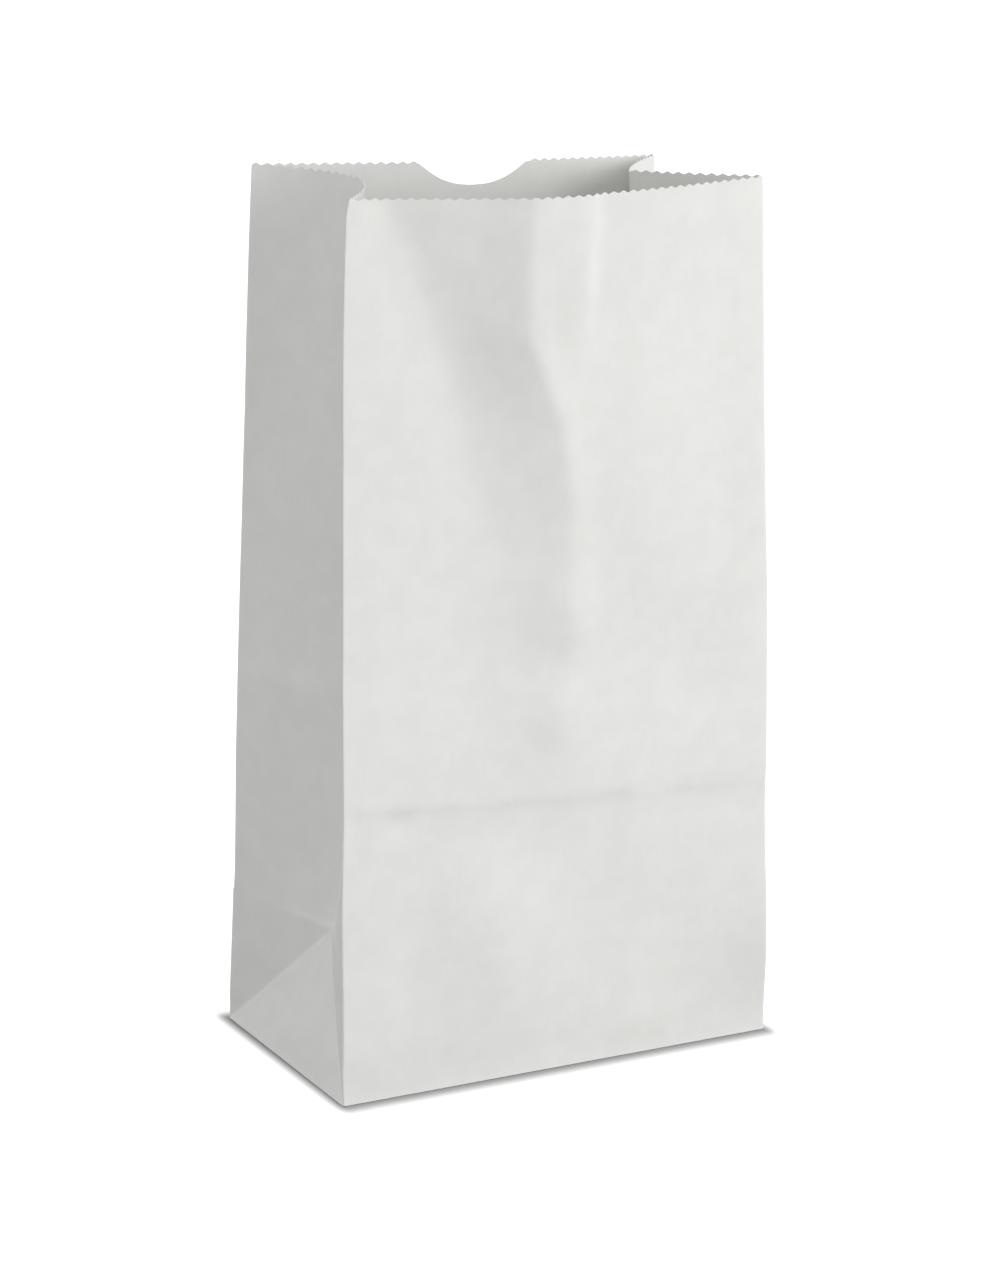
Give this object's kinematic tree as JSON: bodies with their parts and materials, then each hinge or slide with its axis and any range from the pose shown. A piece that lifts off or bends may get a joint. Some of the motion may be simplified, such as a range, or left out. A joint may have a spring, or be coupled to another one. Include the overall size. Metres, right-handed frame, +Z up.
{
  "type": "paper lunch bag",
  "caption": "Small white paper lunch bag standing open, with side gussets, a folded square bottom, a pinked mouth and a thumb notch.",
  "frame": {"origin": "middle of the bottom's underside, where the bag stands on the ground", "axes": "+Z up to the open mouth, -Y out of the front panel, +X along the front panel to its right"},
  "size_m": [0.1531, 0.0931, 0.2855],
  "materials": {
    "white_paper": "matt white kraft paper, uncoated, with faint fibre mottling"
  },
  "bodies": {
    "root": {"paper_bag": "white_paper"}
  },
  "joints": []
}
